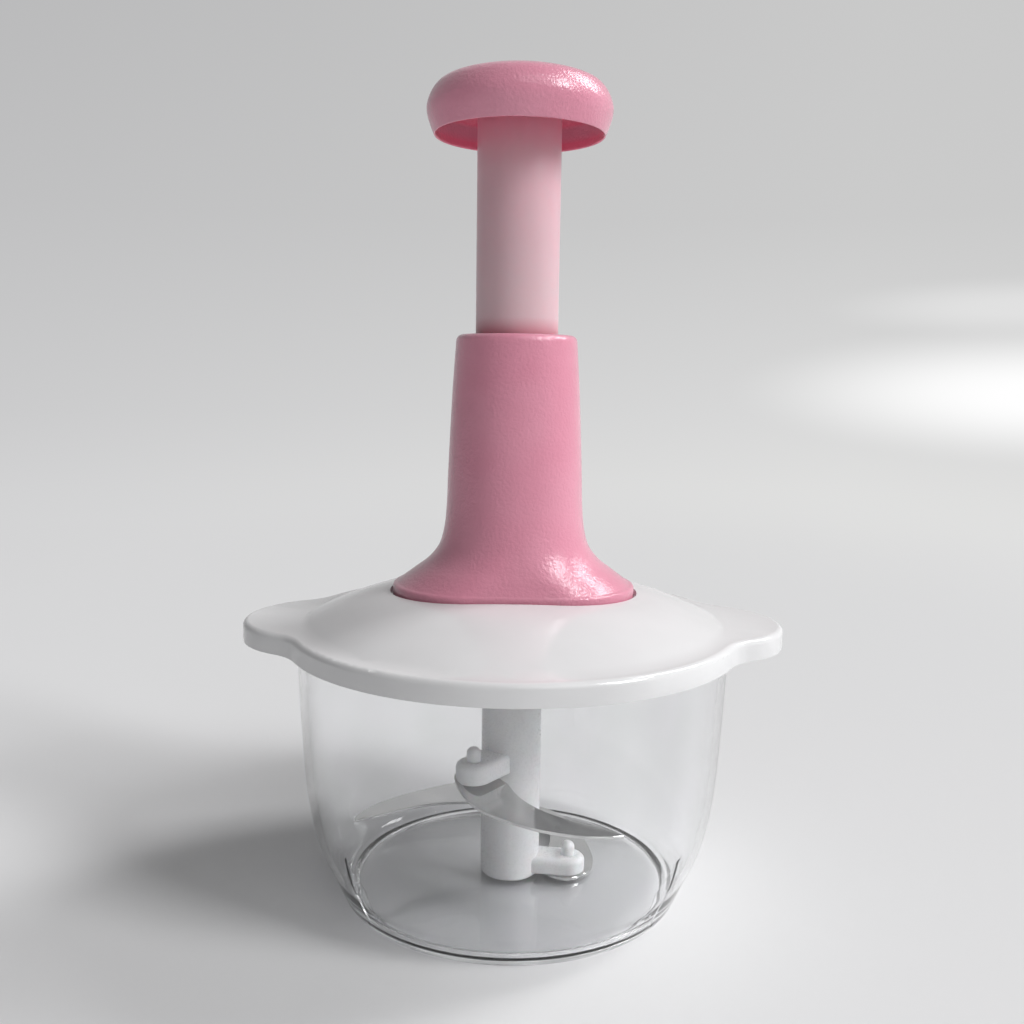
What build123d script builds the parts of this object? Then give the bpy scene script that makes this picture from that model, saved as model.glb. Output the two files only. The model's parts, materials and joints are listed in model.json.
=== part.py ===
from build123d import *
import math
import os

# A hand-powered food chopper. Pressing the knob drives a nut down a twisted rod, which spins
# the blade shaft in the bowl through a one-way clutch, and a spring lifts the knob again.
# Millimetres. Origin: centre of the bowl's foot. +Z up, the two ears of the lid along X,
# the front of the object towards -Y.

# ---------- driving dimensions ----------

# bowl: its side is given as radius and height
bowl_height = 83.5
bowl_wall = 2.5
bowl_floor_top = 2.4
foot_recess = 0.6
foot_inner_radius = 50.4
foot_outer_radius = 53.3
bowl_corner = (54.0, 1.0)
bowl_side = [(57.0, 8.0), (61.4, 18.0), (64.4, 32.0), (66.2, 55.0), (67.4, bowl_height)]
floor_edge = (49.4, bowl_floor_top)
floor_turn = (52.4, 4.2)
baffle_angles = (221, 321)
baffle_thickness = 1.6
baffle_outline = [(50.5, 1.4), (54.5, 1.4), (58.2, 12.0), (61.2, 20.0), (62.6, 27.0),
                  (62.0, 27.0), (58.2, 19.0), (53.8, 9.0)]
boss_radius = 6.0

# lid: its dome is given as radius and height
lid_radius = 70.5
ear_centre = 58.5
ear_radius = 26.4
ear_blend = 18.0
rim_bottom = 79.9
rim_top = 86.3
rim_edge_round = 1.9
lid_skin = 2.2
skirt_inner_radius = 68.2
plug_outer_radius = 62.6
plug_wall = 2.0
dome_foot = (66.0, 86.3)
dome_side = [(54.0, 91.3), (42.0, 95.0), (30.0, 96.5)]
dome_top = 97.0
seat_level = 93.7
seat_gap = 1.0
ear_rib_places = (-7.0, 7.0)
ear_rib_thickness = 1.6

# handle housing: a round column, given as radius and height, on an oval flare, given as
# height, half length along X and half depth along Y
housing_top = 175.0
base_half_length = 37.8
base_half_depth = 25.0
base_lip_top = 98.3
base_lip_round = 1.0
housing_wall = 2.2
housing_edge_round = 2.4
housing_sections = [
    (98.2, 36.7, 24.7),
    (100.0, 34.3, 24.3),
    (102.6, 30.8, 23.8),
    (105.6, 26.9, 23.1),
    (110.0, 23.5, 22.3),
    (115.3, 21.95, 21.8),
    (122.4, 21.2, 21.2),
]
column_foot = (21.15, 122.4)
column_side = [(20.8, 132.6), (20.2, 146.0), (19.5, 159.4), (18.6, housing_top - 2.4)]
hollow_sections = [
    (97.4, 34.8, 22.4),
    (100.0, 31.3, 21.9),
    (102.6, 27.3, 21.4),
    (105.6, 23.6, 20.6),
    (110.0, 20.8, 19.9),
    (116.0, 19.6, 19.4),
]
hollow_top = 160.0
hollow_column = [(19.4, 116.0), (18.9, 124.0), (18.0, 146.0), (17.2, hollow_top)]
collar_bore = 16.3
collar_top = 172.0
top_opening = 13.4
guide_rib_width = 3.0
guide_rib_radius = 14.3
guide_rib_bottom = 101.0
housing_boss_radius = 3.4
oval_points = 28

# plunger: the knob is given as radius and height
tube_radius = 12.6
tube_wall = 1.8
tube_bottom = 157.0
tube_top = 245.0
web_bottom = 235.5
web_thickness = 2.0
knob_lip = 233.5
knob_lip_radius = 25.1
knob_side = [(26.6, 236.0), (27.55, 239.0), (27.7, 241.5), (26.5, 245.0), (24.2, 247.8),
             (19.5, 249.7), (12.0, 251.3), (0.0, 252.0)]
knob_hollow = [(25.5, 237.0), (25.4, 241.0), (23.6, 244.8), (19.0, 247.0), (0.0, 248.4)]
knob_ceiling = 248.0
knob_post_radius = 4.0
knob_ring_radius = 14.4
knob_ring_bottom = 243.0

# twisted rod, its nut and the drive under it
rod_lead = 32.0
rod_width = 8.0
rod_thickness = 3.0
rod_corner = 0.5
rod_bottom = 87.7
rod_hexagon = (88.8, 91.5)
rod_hexagon_flat = 6.0
journal_radius = 4.0
rod_collar = (96.2, 98.0)
rod_collar_radius = 7.0
twist_top = 166.0
rod_stub_radius = 2.4
nut_height = 8.0
clutch_teeth = 18
clutch_tooth_inner = 10.6
clutch_tooth_outer = 12.0
clutch_face_angle = 24.5
clutch_cup_radius = 13.6
clutch_cup = (86.0, 87.4, 91.2)
drive_journal_radius = 5.0
drive_hexagon_flat = 9.0
drive_hexagon_bottom = 74.5
cover_bottom = 82.8
cover_top = 85.2
cover_radius = 27.5
pan_bottom = 91.5
pan_hole_radius = 8.0

# blade set
shaft_radius = 9.5
shaft_bottom = 2.9
shaft_top = 82.0
shaft_socket_bottom = 72.0
centre_pin_radius = 2.5
centre_pin_bottom = 1.2
centre_pin_top = 21.0
bush_radius = 4.6
bush_top = 22.6
pin_circle = 19.0
arm_width = 11.0
arm_top_round = 1.9
arm_bottom_round = 0.8
blade_thickness = 1.0
blade_pin_radius = 2.2
blade_pin_rise = 4.5
# name, direction of the arm, top of the arm, height of the arm, turn of the blade on its pin
blade_levels = [
    ("upper_blade", 233, 45.2, 6.0, 0),
    ("middle_blade", 113, 28.4, 5.6, 0),
    ("lower_blade", 353, 9.2, 5.2, 7),
]
# blade outline from its pin, with its arm along X: the outer edge from tip to root, then the
# inner edge from the root to the corner beside the shaft and from there to the tip
blade_outer_edge = [(-8.0, 49.0), (-1.2, 43.3), (2.8, 36.5), (5.7, 29.0), (7.5, 20.5),
                    (8.8, 11.0), (8.5, 3.0), (5.8, -2.6), (0.0, -6.3)]
blade_root_edge = [(0.0, -6.3), (-5.4, -4.2), (-8.0, 1.5)]
blade_corner = (-9.4, 6.4)
blade_inner_edge = [(-9.4, 6.4), (-6.4, 13.6), (-4.9, 21.0), (-4.9, 28.0), (-6.4, 37.0),
                    (-8.0, 49.0)]
# bent sheet of the upper blade: distance along the blade and height of its top face
bent_sheet = [(-12.0, 41.6), (-5.0, 40.4), (0.0, 39.2), (5.0, 37.0), (9.5, 35.4), (16.0, 34.4),
              (30.0, 33.4), (56.0, 31.7)]
sheet_reach = 40.0

# springs and fasteners
spring_radius = 7.4
spring_wire = 0.6
spring_turns = 7.5
spring_bottom = 168.0
housing_screw_place = 31.0
cover_screw_place = 14.5
screw_radius = 1.4
cover_screw_radius = 1.2

# clearances: between pieces that are fixed together, and between pieces that move
touch = 0.05
loose = 0.3


# ---------- helpers ----------

def keep(piece, name):
    """Labels a finished sub-part and writes it to its own file."""
    piece.part.label = name
    export_step(piece.part, f"parts/{name}.step")


def post(radius, bottom, top, mode=Mode.ADD):
    """An upright round post, or a bore with Mode.SUBTRACT, between two heights."""
    with Locations((0, 0, bottom)):
        Cylinder(radius, top - bottom, align=(Align.CENTER, Align.CENTER, Align.MIN), mode=mode)


def hexagon(flat, bottom, top, mode=Mode.ADD):
    """An upright hexagonal prism between two heights."""
    with BuildSketch(Plane.XY.offset(bottom)) as section:
        RegularPolygon(flat / 2, 6, major_radius=False)
    extrude(section.sketch, amount=top - bottom, mode=mode)


def oval_point(half_length, half_depth, angle):
    """The point of a round-ended outline that lies in one direction from its middle."""
    run = half_length - half_depth
    across, along = abs(math.sin(angle)), abs(math.cos(angle))
    if half_depth * along <= run * across:
        reach = half_depth / across
    else:
        reach = run * along + math.sqrt(half_depth ** 2 - (run * across) ** 2)
    return (reach * math.cos(angle), reach * math.sin(angle))


def slot_loft(sections):
    """A solid through round-ended sections: height, half length and half depth."""
    outlines = []
    for height, half_length, half_depth in sections:
        with BuildSketch(Plane.XY.offset(height)) as section:
            SlotOverall(2 * half_length, 2 * half_depth)
        outlines.append(section.sketch)
    loft(outlines)


def oval_loft(sections):
    """The same with one smooth wall, for sections that end in a circle."""
    outlines = []
    for height, half_length, half_depth in sections:
        points = [oval_point(half_length, half_depth, math.radians(step * 360 / oval_points))
                  for step in range(oval_points)]
        with BuildSketch(Plane.XY.offset(height)) as section:
            with BuildLine() as edge:
                Spline(*points, periodic=True)
            make_face(edge.edges())
        outlines.append(section.sketch)
    loft(outlines)


def slot_block(grow, bottom, top, mode=Mode.ADD):
    """A straight block of the housing base's outline, grown all round."""
    with BuildSketch(Plane.XY.offset(bottom)) as section:
        SlotOverall(2 * (base_half_length + grow), 2 * (base_half_depth + grow))
    return extrude(section.sketch, amount=top - bottom, mode=mode)


def twisted_bar(grow, bottom, top):
    """The rod's flat section, twisted clockwise by one turn per lead and grown all round."""
    start = -360.0 * (bottom - rod_collar[1]) / rod_lead
    turn = -360.0 * (top - bottom) / rod_lead
    flat = RectangleRounded(rod_width + 2 * grow, rod_thickness + 2 * grow, rod_corner)
    section = Pos(0, 0, bottom) * Rot(0, 0, start) * flat
    return Solid.extrude_linear_with_rotation(
        section.faces()[0], (0, 0, bottom), (0, 0, top - bottom), turn)


def arm_plane(angle, height):
    """A level plane with its X direction along a blade's arm."""
    return Plane.XY.offset(height).rotated((0, 0, angle))


def pin_plane(angle, height, turn=0):
    """A level plane at a blade's pin, turned from its arm."""
    pin = Vector(pin_circle, 0, height).rotate(Axis.Z, angle)
    return Plane(pin).rotated((0, 0, angle + turn))


os.makedirs("parts", exist_ok=True)

# ---------- bowl ----------

with BuildPart() as bowl:
    with BuildSketch(Plane.XZ):
        with BuildLine():
            Polyline((0, foot_recess), (foot_inner_radius - foot_recess, foot_recess),
                     (foot_inner_radius, 0), (foot_outer_radius, 0), bowl_corner)
            Spline(bowl_corner, *bowl_side)
            inner_side = [(r - bowl_wall, z) for r, z in bowl_side]
            Line(bowl_side[-1], inner_side[-1])
            Spline(floor_edge, floor_turn, *inner_side,
                   tangents=((1, 0), (0.03, 1)), tangent_scalars=(2, 2))
            Polyline(floor_edge, (0, bowl_floor_top), (0, foot_recess))
        make_face()
    revolve(axis=Axis.Z)
    # two low upright baffles inside the front wall
    for angle in baffle_angles:
        with BuildSketch(Plane.XZ.rotated((0, 0, angle))):
            with BuildLine():
                Polyline(*baffle_outline, close=True)
            make_face()
        extrude(amount=baffle_thickness / 2, both=True)
    # socket for the centre pin
    post(boss_radius, foot_recess, bowl_floor_top)
    post(centre_pin_radius + touch, centre_pin_bottom, bowl_floor_top, Mode.SUBTRACT)
keep(bowl, "bowl")

with BuildPart() as centre_pin:
    post(centre_pin_radius, centre_pin_bottom, centre_pin_top)
    chamfer(centre_pin.edges().group_by(Axis.Z)[-1], 0.5)
keep(centre_pin, "centre_pin")

# ---------- blades ----------


def blade_outline():
    """Closed outline of one blade, rounded at its root and pointed at its tip."""
    with BuildLine() as edge:
        Spline(*blade_outer_edge)
        Spline(*blade_root_edge)
        Line(blade_root_edge[-1], blade_corner)
        Spline(*blade_inner_edge)
    make_face(edge.edges())


# the bent sheet, and the room that it needs under its arm
upper_direction = blade_levels[0][1]
side_plane = Plane.YZ.rotated((0, 0, upper_direction))
with BuildPart() as sheet:
    with BuildSketch(side_plane):
        with BuildLine():
            Spline(*bent_sheet)
            lower_face = [(along, height - blade_thickness) for along, height in bent_sheet]
            Line(bent_sheet[-1], lower_face[-1])
            Spline(*reversed(lower_face))
            Line(lower_face[0], bent_sheet[0])
        make_face()
    extrude(amount=sheet_reach, both=True)

with BuildPart() as sheet_room:
    with BuildSketch(side_plane):
        with BuildLine():
            Spline(*bent_sheet)
            Polyline(bent_sheet[-1], (bent_sheet[-1][0], 30.0), (bent_sheet[0][0], 30.0),
                     bent_sheet[0])
        make_face()
    extrude(amount=sheet_reach, both=True)

for name, angle, arm_top, arm_height, turn in blade_levels:
    arm_bottom = arm_top - arm_height
    with BuildPart() as blade:
        bent = name == "upper_blade"
        with BuildSketch(pin_plane(angle, 25.0 if bent else arm_bottom - blade_thickness, turn)):
            blade_outline()
        extrude(amount=25.0 if bent else blade_thickness)
        if bent:
            add(sheet.part, mode=Mode.INTERSECT)
        with BuildSketch(pin_plane(angle, arm_bottom - 10)):
            Circle(blade_pin_radius + touch)
        extrude(amount=20, mode=Mode.SUBTRACT)
    keep(blade, name)

with BuildPart() as arms:
    for name, angle, arm_top, arm_height, turn in blade_levels:
        with BuildSketch(arm_plane(angle, arm_top - arm_height)):
            with Locations((pin_circle / 2, 0)):
                SlotCenterToCenter(pin_circle, arm_width)
        arm = extrude(amount=arm_height)
        fillet(arm.edges().group_by(Axis.Z)[-1], arm_top_round)
    for name, angle, arm_top, arm_height, turn in blade_levels[1:]:
        lowest = arm_top - arm_height
        fillet(arms.edges().filter_by_position(Axis.Z, lowest - touch, lowest + touch),
               arm_bottom_round)
    # the upper arm follows the bent blade under it
    add(sheet_room.part, mode=Mode.SUBTRACT)

with BuildPart() as blade_shaft:
    add(arms.part)
    post(shaft_radius, shaft_bottom, shaft_top)
    fillet(blade_shaft.edges().group_by(Axis.Z)[0], 0.9)
    fillet(blade_shaft.edges().group_by(Axis.Z)[-1], 0.6)
    # bore for the bush and the core, and the hexagonal socket for the drive
    post(bush_radius + touch, shaft_bottom, shaft_top, Mode.SUBTRACT)
    hexagon(drive_hexagon_flat + 2 * loose, shaft_socket_bottom, shaft_top, Mode.SUBTRACT)
    for name, angle, arm_top, arm_height, turn in blade_levels:
        with BuildSketch(pin_plane(angle, arm_top - arm_height - 3)):
            Circle(blade_pin_radius + touch)
        extrude(amount=arm_height + 6, mode=Mode.SUBTRACT)
keep(blade_shaft, "blade_shaft")

with BuildPart() as blade_pins:
    for name, angle, arm_top, arm_height, turn in blade_levels:
        foot = arm_top - arm_height - blade_thickness
        with BuildSketch(pin_plane(angle, foot)):
            Circle(blade_pin_radius)
        pin = extrude(amount=arm_top + blade_pin_rise - foot)
        fillet(pin.edges().group_by(Axis.Z)[-1], blade_pin_radius - 0.1)
keep(blade_pins, "blade_pins")

with BuildPart() as shaft_bush:
    post(bush_radius, shaft_bottom + 0.6, bush_top)
    post(centre_pin_radius + touch, shaft_bottom + 0.6, centre_pin_top, Mode.SUBTRACT)
keep(shaft_bush, "shaft_bush")

# ---------- lid ----------

with BuildPart() as dome_form:
    with BuildSketch(Plane.XZ):
        with BuildLine():
            Polyline((0, rim_bottom), (dome_foot[0], rim_bottom), dome_foot)
            Spline(dome_foot, *dome_side, (0, dome_top), tangents=((-2.2, 1), (-1, 0)))
            Line((0, dome_top), (0, rim_bottom))
        make_face()
    revolve(axis=Axis.Z)

with BuildPart() as lid:
    with BuildSketch(Plane.XY.offset(rim_bottom)) as lid_outline:
        Circle(lid_radius)
        with Locations((ear_centre, 0), (-ear_centre, 0)):
            Circle(ear_radius)
        fillet(lid_outline.vertices(), ear_blend)
    extrude(amount=rim_top - rim_bottom)
    fillet(lid.edges().group_by(Axis.Z)[-1], rim_edge_round)
    add(dome_form.part)
    # hollow under the dome
    with BuildSketch(Plane.XZ):
        with BuildLine():
            inner_dome = [(r, z - lid_skin) for r, z in dome_side]
            hollow_edge = (plug_outer_radius - plug_wall, rim_bottom)
            hollow_shoulder = (plug_outer_radius - plug_wall, 86.0)
            Polyline((0, rim_bottom), hollow_edge, hollow_shoulder)
            Spline(hollow_shoulder, *inner_dome, (0, dome_top - lid_skin))
            Line((0, dome_top - lid_skin), (0, rim_bottom))
        make_face()
    revolve(axis=Axis.Z, mode=Mode.SUBTRACT)
    # groove for the bowl's rim, between the plug and the skirt
    with BuildSketch(Plane.XY.offset(rim_bottom)):
        Circle(skirt_inner_radius)
        Circle(plug_outer_radius, mode=Mode.SUBTRACT)
    extrude(amount=bowl_height - rim_bottom, mode=Mode.SUBTRACT)
    # pockets under the ears, crossed by ribs
    with BuildSketch(Plane.XY.offset(rim_bottom)) as ear_pockets:
        Circle(lid_radius - lid_skin)
        with Locations((ear_centre, 0), (-ear_centre, 0)):
            Circle(ear_radius - lid_skin)
        fillet(ear_pockets.vertices(), ear_blend + lid_skin)
        Circle(lid_radius, mode=Mode.SUBTRACT)
        for place in ear_rib_places:
            with Locations((0, place)):
                Rectangle(2 * (ear_centre + ear_radius), ear_rib_thickness, mode=Mode.SUBTRACT)
    extrude(amount=rim_top - lid_skin - rim_bottom, mode=Mode.SUBTRACT)

with BuildPart() as pan_form:
    slot_block(seat_gap + lid_skin, pan_bottom, dome_top)
    add(dome_form.part, mode=Mode.INTERSECT)

with BuildPart() as lid_finished:
    add(lid.part)
    add(pan_form.part)
    slot_block(seat_gap, seat_level, dome_top + 1, Mode.SUBTRACT)
    post(pan_hole_radius, pan_bottom, seat_level, Mode.SUBTRACT)
    with Locations((housing_screw_place, 0, seat_level), (-housing_screw_place, 0, seat_level)):
        Cylinder(screw_radius + touch, 10, mode=Mode.SUBTRACT)
    # bosses for the screws of the drive cover
    with Locations((0, 0, cover_top)):
        with GridLocations(2 * cover_screw_place, 2 * cover_screw_place, 2, 2):
            Cylinder(3.0, pan_bottom - cover_top + 0.5,
                     align=(Align.CENTER, Align.CENTER, Align.MIN))
    with Locations((0, 0, cover_top)):
        with GridLocations(2 * cover_screw_place, 2 * cover_screw_place, 2, 2):
            Cylinder(cover_screw_radius + touch, 6.5,
                     align=(Align.CENTER, Align.CENTER, Align.MIN), mode=Mode.SUBTRACT)
keep(lid_finished, "lid")

with BuildPart() as lid_seal:
    with BuildSketch(Plane.XZ):
        seal_inner = plug_outer_radius
        seal_outer = bowl_side[-1][0] - bowl_wall - 2 * loose
        with BuildLine():
            Polyline((seal_inner, 80.2), (seal_inner + 1.1, 80.2), (seal_outer, 80.9),
                     (seal_inner + 1.1, 81.3), (seal_inner + 1.1, 81.9), (seal_outer, 82.6),
                     (seal_inner + 1.1, 83.0), (seal_inner, 83.0), close=True)
        make_face()
    revolve(axis=Axis.Z)
keep(lid_seal, "lid_seal")

with BuildPart() as drive_cover:
    post(cover_radius, cover_bottom, cover_top)
    chamfer(drive_cover.edges().group_by(Axis.Z)[0], 0.6)
    with BuildSketch(Plane.XY.offset(cover_top)):
        Circle(cover_radius)
        Circle(cover_radius - 2, mode=Mode.SUBTRACT)
    extrude(amount=pan_bottom - cover_top)
    post(8.0, cover_bottom, clutch_cup[0])
    post(drive_journal_radius + 0.08, cover_bottom, clutch_cup[0], Mode.SUBTRACT)
    with Locations(Plane.XY.offset(cover_bottom).rotated((180, 0, 0))):
        with GridLocations(2 * cover_screw_place, 2 * cover_screw_place, 2, 2):
            CounterBoreHole(cover_screw_radius + touch, 2.8, 1.3, 10)
keep(drive_cover, "drive_cover")

with BuildPart() as cover_screws:
    with GridLocations(2 * cover_screw_place, 2 * cover_screw_place, 2, 2):
        with Locations((0, 0, cover_bottom + 0.1)):
            Cylinder(2.5, 1.2, align=(Align.CENTER, Align.CENTER, Align.MIN))
            Cylinder(cover_screw_radius, 8.0, align=(Align.CENTER, Align.CENTER, Align.MIN))
            Box(3.2, 0.6, 0.7, align=(Align.CENTER, Align.CENTER, Align.MIN), mode=Mode.SUBTRACT)
            Box(0.6, 3.2, 0.7, align=(Align.CENTER, Align.CENTER, Align.MIN), mode=Mode.SUBTRACT)
keep(cover_screws, "cover_screws")

# ---------- handle housing ----------

with BuildPart() as housing_form:
    lip = slot_block(0, seat_level, base_lip_top)
    fillet(lip.edges().group_by(Axis.Z)[-1], base_lip_round)
    oval_loft(housing_sections)
    with BuildSketch(Plane.XZ):
        with BuildLine():
            Spline(column_foot, *column_side)
            # the top edge is rounded in small steps, and the column's foot stands in the flare
            edge_radius, edge_height = column_side[-1]
            crown = []
            for step in range(1, 6):
                turn = math.radians(18 * step)
                crown.append((edge_radius - housing_edge_round * (1 - math.cos(turn)),
                              edge_height + housing_edge_round * math.sin(turn)))
            core_foot = (column_foot[0] - 1.0, column_foot[1] - 6.0)
            Polyline(column_side[-1], *crown, (0, housing_top), (0, core_foot[1]), core_foot,
                     (core_foot[0], column_foot[1]), column_foot)
        make_face()
    revolve(axis=Axis.Z)

with BuildPart() as housing_hollow:
    slot_block(-housing_wall, seat_level, hollow_sections[0][0])
    slot_loft(hollow_sections)
    with BuildSketch(Plane.XZ):
        with BuildLine():
            Polyline(*hollow_column, (collar_bore, hollow_top), (collar_bore, collar_top),
                     (top_opening, collar_top), (top_opening, housing_top + 1),
                     (0, housing_top + 1), (0, hollow_column[0][1]), close=True)
        make_face()
    revolve(axis=Axis.Z)
    # left standing in the hollow: two upright ribs that stop the plunger from turning, and
    # the screw bosses in the base
    for side in (1, -1):
        with Locations((0, side * guide_rib_radius, guide_rib_bottom)):
            Box(guide_rib_width, 20, hollow_top - guide_rib_bottom, mode=Mode.SUBTRACT,
                align=(Align.CENTER, Align.MIN if side > 0 else Align.MAX, Align.MIN))
    with Locations((housing_screw_place, 0, seat_level), (-housing_screw_place, 0, seat_level)):
        Cylinder(housing_boss_radius, 12, mode=Mode.SUBTRACT,
                 align=(Align.CENTER, Align.CENTER, Align.MIN))

with BuildPart() as handle_housing:
    add(housing_form.part)
    add(housing_hollow.part, mode=Mode.SUBTRACT)
    with Locations((housing_screw_place, 0, seat_level), (-housing_screw_place, 0, seat_level)):
        Cylinder(screw_radius + touch, 12, mode=Mode.SUBTRACT)
keep(handle_housing, "handle_housing")

with BuildPart() as housing_screws:
    with Locations((housing_screw_place, 0, pan_bottom), (-housing_screw_place, 0, pan_bottom)):
        Cylinder(2.8, 1.8, align=(Align.CENTER, Align.CENTER, Align.MAX))
        Cylinder(screw_radius, 8.0, align=(Align.CENTER, Align.CENTER, Align.MIN))
    with Locations((housing_screw_place, 0, pan_bottom - 1.8),
                   (-housing_screw_place, 0, pan_bottom - 1.8)):
        Box(3.4, 0.7, 0.9, align=(Align.CENTER, Align.CENTER, Align.MIN), mode=Mode.SUBTRACT)
        Box(0.7, 3.4, 0.9, align=(Align.CENTER, Align.CENTER, Align.MIN), mode=Mode.SUBTRACT)
keep(housing_screws, "housing_screws")

with BuildPart() as guide_bush:
    post(collar_bore - touch, 163.0, collar_top)
    post(tube_radius + loose, 163.0, collar_top, Mode.SUBTRACT)
    chamfer(guide_bush.edges().group_by(Axis.Z)[0], 0.4)
keep(guide_bush, "guide_bush")

# ---------- drive ----------

with BuildPart() as rod_bush:
    post(pan_hole_radius - touch, pan_bottom, seat_level)
    post(10.5, seat_level, seat_level + 1.5)
    post(journal_radius + 0.06, pan_bottom, seat_level + 1.5, Mode.SUBTRACT)
keep(rod_bush, "rod_bush")

with BuildPart() as thrust_washer:
    post(7.4, seat_level + 1.5, rod_collar[0])
    post(journal_radius + loose, seat_level + 1.5, rod_collar[0], Mode.SUBTRACT)
keep(thrust_washer, "thrust_washer")

rod_twist = twisted_bar(0, rod_collar[1], twist_top)
with BuildPart() as spiral_rod:
    post(rod_stub_radius, rod_bottom, rod_hexagon[0])
    hexagon(rod_hexagon_flat, *rod_hexagon)
    post(journal_radius, rod_hexagon[1], rod_collar[0])
    post(rod_collar_radius, *rod_collar)
    add(rod_twist)
    post(1.4, twist_top, twist_top + 3.0)
keep(spiral_rod, "spiral_rod")

with BuildPart() as circlip:
    with BuildSketch(Plane.XY.offset(rod_bottom + 0.3)):
        Circle(4.4)
        Circle(rod_stub_radius + touch, mode=Mode.SUBTRACT)
        with Locations((4.0, 0)):
            Rectangle(6.0, 2.0, mode=Mode.SUBTRACT)
    extrude(amount=0.6)
keep(circlip, "circlip")

with BuildPart() as pawl_wheel:
    with BuildSketch(Plane.XY.offset(rod_hexagon[0])):
        Circle(5.9)
        for turn in (0, 120, 240):
            with BuildLine(Plane.XY.rotated((0, 0, turn))):
                Polyline((0, 4.0), (0, 5.9), (8.6, 5.6), (10.05, 4.9), (9.5, 4.45), (3, 4.0),
                         close=True)
            make_face()
        RegularPolygon(rod_hexagon_flat / 2 + touch, 6, major_radius=False, mode=Mode.SUBTRACT)
    extrude(amount=2.4)
keep(pawl_wheel, "pawl_wheel")

with BuildPart() as drive_coupler:
    hexagon(drive_hexagon_flat, drive_hexagon_bottom, cover_bottom)
    chamfer(drive_coupler.edges().group_by(Axis.Z)[0], 0.6)
    post(drive_journal_radius, cover_bottom, clutch_cup[0])
    post(clutch_cup_radius, clutch_cup[0], clutch_cup[2])
    # ring of inward ratchet teeth in the cup
    tooth_step = 360 / clutch_teeth
    with BuildSketch(Plane.XY.offset(clutch_cup[1])):
        with BuildLine():
            corners = []
            for index in range(clutch_teeth):
                start = clutch_face_angle + index * tooth_step
                corners.append(Vector(clutch_tooth_outer, 0).rotate(Axis.Z, start))
                corners.append(Vector(clutch_tooth_inner, 0).rotate(Axis.Z, start + tooth_step))
            Polyline(*corners, close=True)
        make_face()
    extrude(amount=clutch_cup[2] - clutch_cup[1], mode=Mode.SUBTRACT)
keep(drive_coupler, "drive_coupler")

# ---------- plunger ----------

with BuildPart() as plunger_tube:
    post(tube_radius, tube_bottom, tube_top)
    post(tube_radius - tube_wall, tube_bottom, web_bottom, Mode.SUBTRACT)
    post(tube_radius - tube_wall, web_bottom + web_thickness, tube_top, Mode.SUBTRACT)
    post(screw_radius + touch, web_bottom, web_bottom + web_thickness, Mode.SUBTRACT)
    chamfer(plunger_tube.edges().group_by(Axis.Z)[0].sort_by(SortBy.LENGTH)[-1], 0.4)
keep(plunger_tube, "plunger_tube")

nut_bottom = tube_bottom + 0.5
nut_hole = twisted_bar(loose, tube_bottom, nut_bottom + nut_height + 1)
with BuildPart() as spiral_nut:
    post(tube_radius - tube_wall - touch, nut_bottom, nut_bottom + nut_height)
    add(nut_hole, mode=Mode.SUBTRACT)
keep(spiral_nut, "spiral_nut")

with BuildPart() as stop_collar:
    post(15.7, tube_bottom + 0.6, 162.7)
    post(tube_radius + touch, tube_bottom, 163.0, Mode.SUBTRACT)
    for side in (1, -1):
        with Locations((0, side * (guide_rib_radius - loose), 160.0)):
            Box(guide_rib_width + 2 * loose, 4, 8, mode=Mode.SUBTRACT,
                align=(Align.CENTER, Align.MIN if side > 0 else Align.MAX, Align.CENTER))
keep(stop_collar, "stop_collar")

with BuildPart() as spring_seat:
    post(8.8, twist_top, spring_bottom)
    post(6.0, spring_bottom, spring_bottom + 1.0)
    post(1.4 + touch, twist_top, spring_bottom + 1.0, Mode.SUBTRACT)
keep(spring_seat, "spring_seat")

coil_bottom = spring_bottom + spring_wire
coil_height = web_bottom - spring_bottom - 2 * spring_wire - 0.1
coil_pitch = coil_height / spring_turns
with BuildPart() as return_spring:
    with BuildLine():
        coil = Helix(coil_pitch, coil_height, spring_radius, center=(0, 0, coil_bottom))
    with BuildSketch(Plane(coil @ 0, z_dir=coil % 0)):
        Circle(spring_wire)
    sweep(is_frenet=True)
keep(return_spring, "return_spring")

with BuildPart() as press_knob:
    with BuildSketch(Plane.XZ):
        with BuildLine():
            Spline((knob_lip_radius + 0.5, knob_lip), *knob_side, tangents=((0.6, 1), (-1, 0)))
            Polyline(knob_side[-1], knob_hollow[-1])
            Spline(*reversed(knob_hollow), (knob_lip_radius, knob_lip + 0.4),
                   tangents=((1, 0), (-0.1, -1)))
            Line((knob_lip_radius, knob_lip + 0.4), (knob_lip_radius + 0.5, knob_lip))
        make_face()
    revolve(axis=Axis.Z)
    # ring that holds the tube, and the post that the screw goes into
    post(knob_ring_radius, knob_ring_bottom, knob_ceiling + 1)
    post(tube_radius + touch, knob_ring_bottom, tube_top, Mode.SUBTRACT)
    post(knob_post_radius, web_bottom + web_thickness, knob_ceiling + 1)
    post(screw_radius + touch, web_bottom + web_thickness, 246.0, Mode.SUBTRACT)
keep(press_knob, "press_knob")

with BuildPart() as knob_screw:
    post(2.8, web_bottom - 1.8, web_bottom)
    post(screw_radius, web_bottom, 245.0)
    with Locations((0, 0, web_bottom - 1.8)):
        Box(3.4, 0.7, 0.9, align=(Align.CENTER, Align.CENTER, Align.MIN), mode=Mode.SUBTRACT)
        Box(0.7, 3.4, 0.9, align=(Align.CENTER, Align.CENTER, Align.MIN), mode=Mode.SUBTRACT)
keep(knob_screw, "knob_screw")
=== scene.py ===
import json
import math

import bpy
from mathutils import Matrix, Vector

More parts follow.
